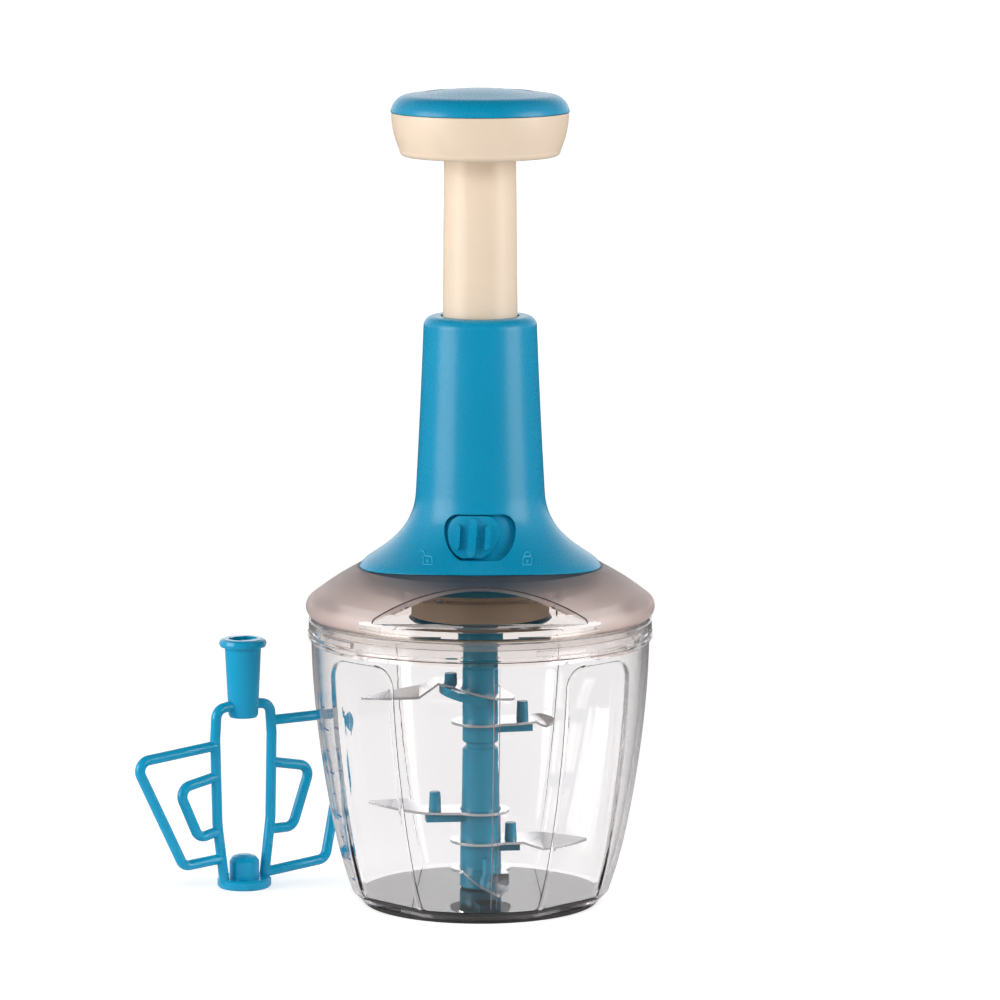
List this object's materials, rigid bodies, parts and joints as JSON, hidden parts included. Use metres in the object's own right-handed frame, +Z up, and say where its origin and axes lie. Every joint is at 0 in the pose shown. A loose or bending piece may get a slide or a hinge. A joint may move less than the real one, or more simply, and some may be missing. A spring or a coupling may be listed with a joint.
{
  "type": "plunger food chopper",
  "caption": "Plunger food chopper: clear bowl with twist-on lid, pump knob that spins stacked blades through a spiral rod, lock slider, and a loose whisk that fits the same drive",
  "frame": {"origin": "on the table at the centre of the bowl's rubber foot", "axes": "+Z up along the blade spindle, -Y to the front (lock slider and lid window), +X to the right seen from the front; the loose whisk stands behind and left of the bowl"},
  "size_m": [0.2039, 0.1387, 0.3198],
  "materials": {
    "clear_bowl": "clear, polished, faint warm grey tint",
    "smoked_lid": "frosted, translucent warm grey, with a polished window",
    "blue_plastic": "satin moulded",
    "cream_plastic": "satin moulded",
    "white_plastic": "plain moulded",
    "black_rubber": "matt",
    "clear_silicone": "translucent silicone",
    "blade_steel": "polished stainless",
    "zinc_steel": "bright zinc plated"
  },
  "bodies": {
    "bowl": {"bowl": "clear_bowl", "anti_slip_base": "black_rubber", "pivot_pin": "blade_steel"},
    "seal": {"lid_seal": "clear_silicone"},
    "lid": {"lid": "smoked_lid", "lid_screws": "zinc_steel", "housing": "blue_plastic", "mechanism_core": "white_plastic", "core_screws": "zinc_steel", "drive_cup": "smoked_lid", "cup_screws": "zinc_steel", "case_cover": "blue_plastic", "spring_seat": "zinc_steel", "thrust_washer": "zinc_steel"},
    "lock": {"lock_slider": "blue_plastic", "lock_catch": "blue_plastic"},
    "plunger": {"plunger_tube": "cream_plastic", "knob_shell": "cream_plastic", "knob_cap": "blue_plastic", "knob_screws": "zinc_steel", "rod_screw": "zinc_steel", "spiral_rod": "zinc_steel", "return_spring": "zinc_steel"},
    "drive": {"drive_nut": "white_plastic", "clutch_ring": "white_plastic", "output_shaft": "blue_plastic"},
    "blades": {"upper_hub": "blue_plastic", "lower_hub": "blue_plastic", "blade_1": "blade_steel", "blade_2": "blade_steel", "blade_3": "blade_steel", "blade_4": "blade_steel", "blade_5": "blade_steel"},
    "whisk": {"whisk": "blue_plastic"}
  },
  "joints": [
    {"name": "lid_lift", "type": "slide", "parent": "bowl", "child": "seal", "axis": [0, 0, 1], "range_m": [0, 0.16]},
    {"name": "lid_twist", "type": "hinge", "parent": "seal", "child": "lid", "pos_m": [0, 0, 0.114], "axis": [0, 0, 1], "range_deg": [-15, 0]},
    {"name": "plunger_press", "type": "slide", "parent": "lid", "child": "plunger", "axis": [0, 0, 1], "range_m": [-0.056, 0], "stiffness_N_per_m": 250, "springref_m": 0.02, "deforming": ["return_spring"]},
    {"name": "drive_spin", "type": "hinge", "parent": "lid", "child": "drive", "pos_m": [0, 0, 0.115], "axis": [0, 0, 1], "range_deg": [-5, 570]},
    {"name": "blade_spin", "type": "hinge", "parent": "bowl", "child": "blades", "pos_m": [0, 0, 0.03], "axis": [0, 0, 1], "range_deg": [-5, 570]},
    {"name": "lock_slide", "type": "hinge", "parent": "lid", "child": "lock", "pos_m": [0, 0, 0.148], "axis": [0, 0, 1], "range_deg": [0, 10.6]},
    {"name": "whisk_lift", "type": "slide", "parent": "bowl", "child": "whisk", "axis": [0, 0, 1], "range_m": [0, 0.12]}
  ],
  "couplings": [
    {"joint": "drive_spin", "follows": "plunger_press", "rad_per_m": -174.53},
    {"joint": "blade_spin", "follows": "plunger_press", "rad_per_m": -174.53}
  ]
}
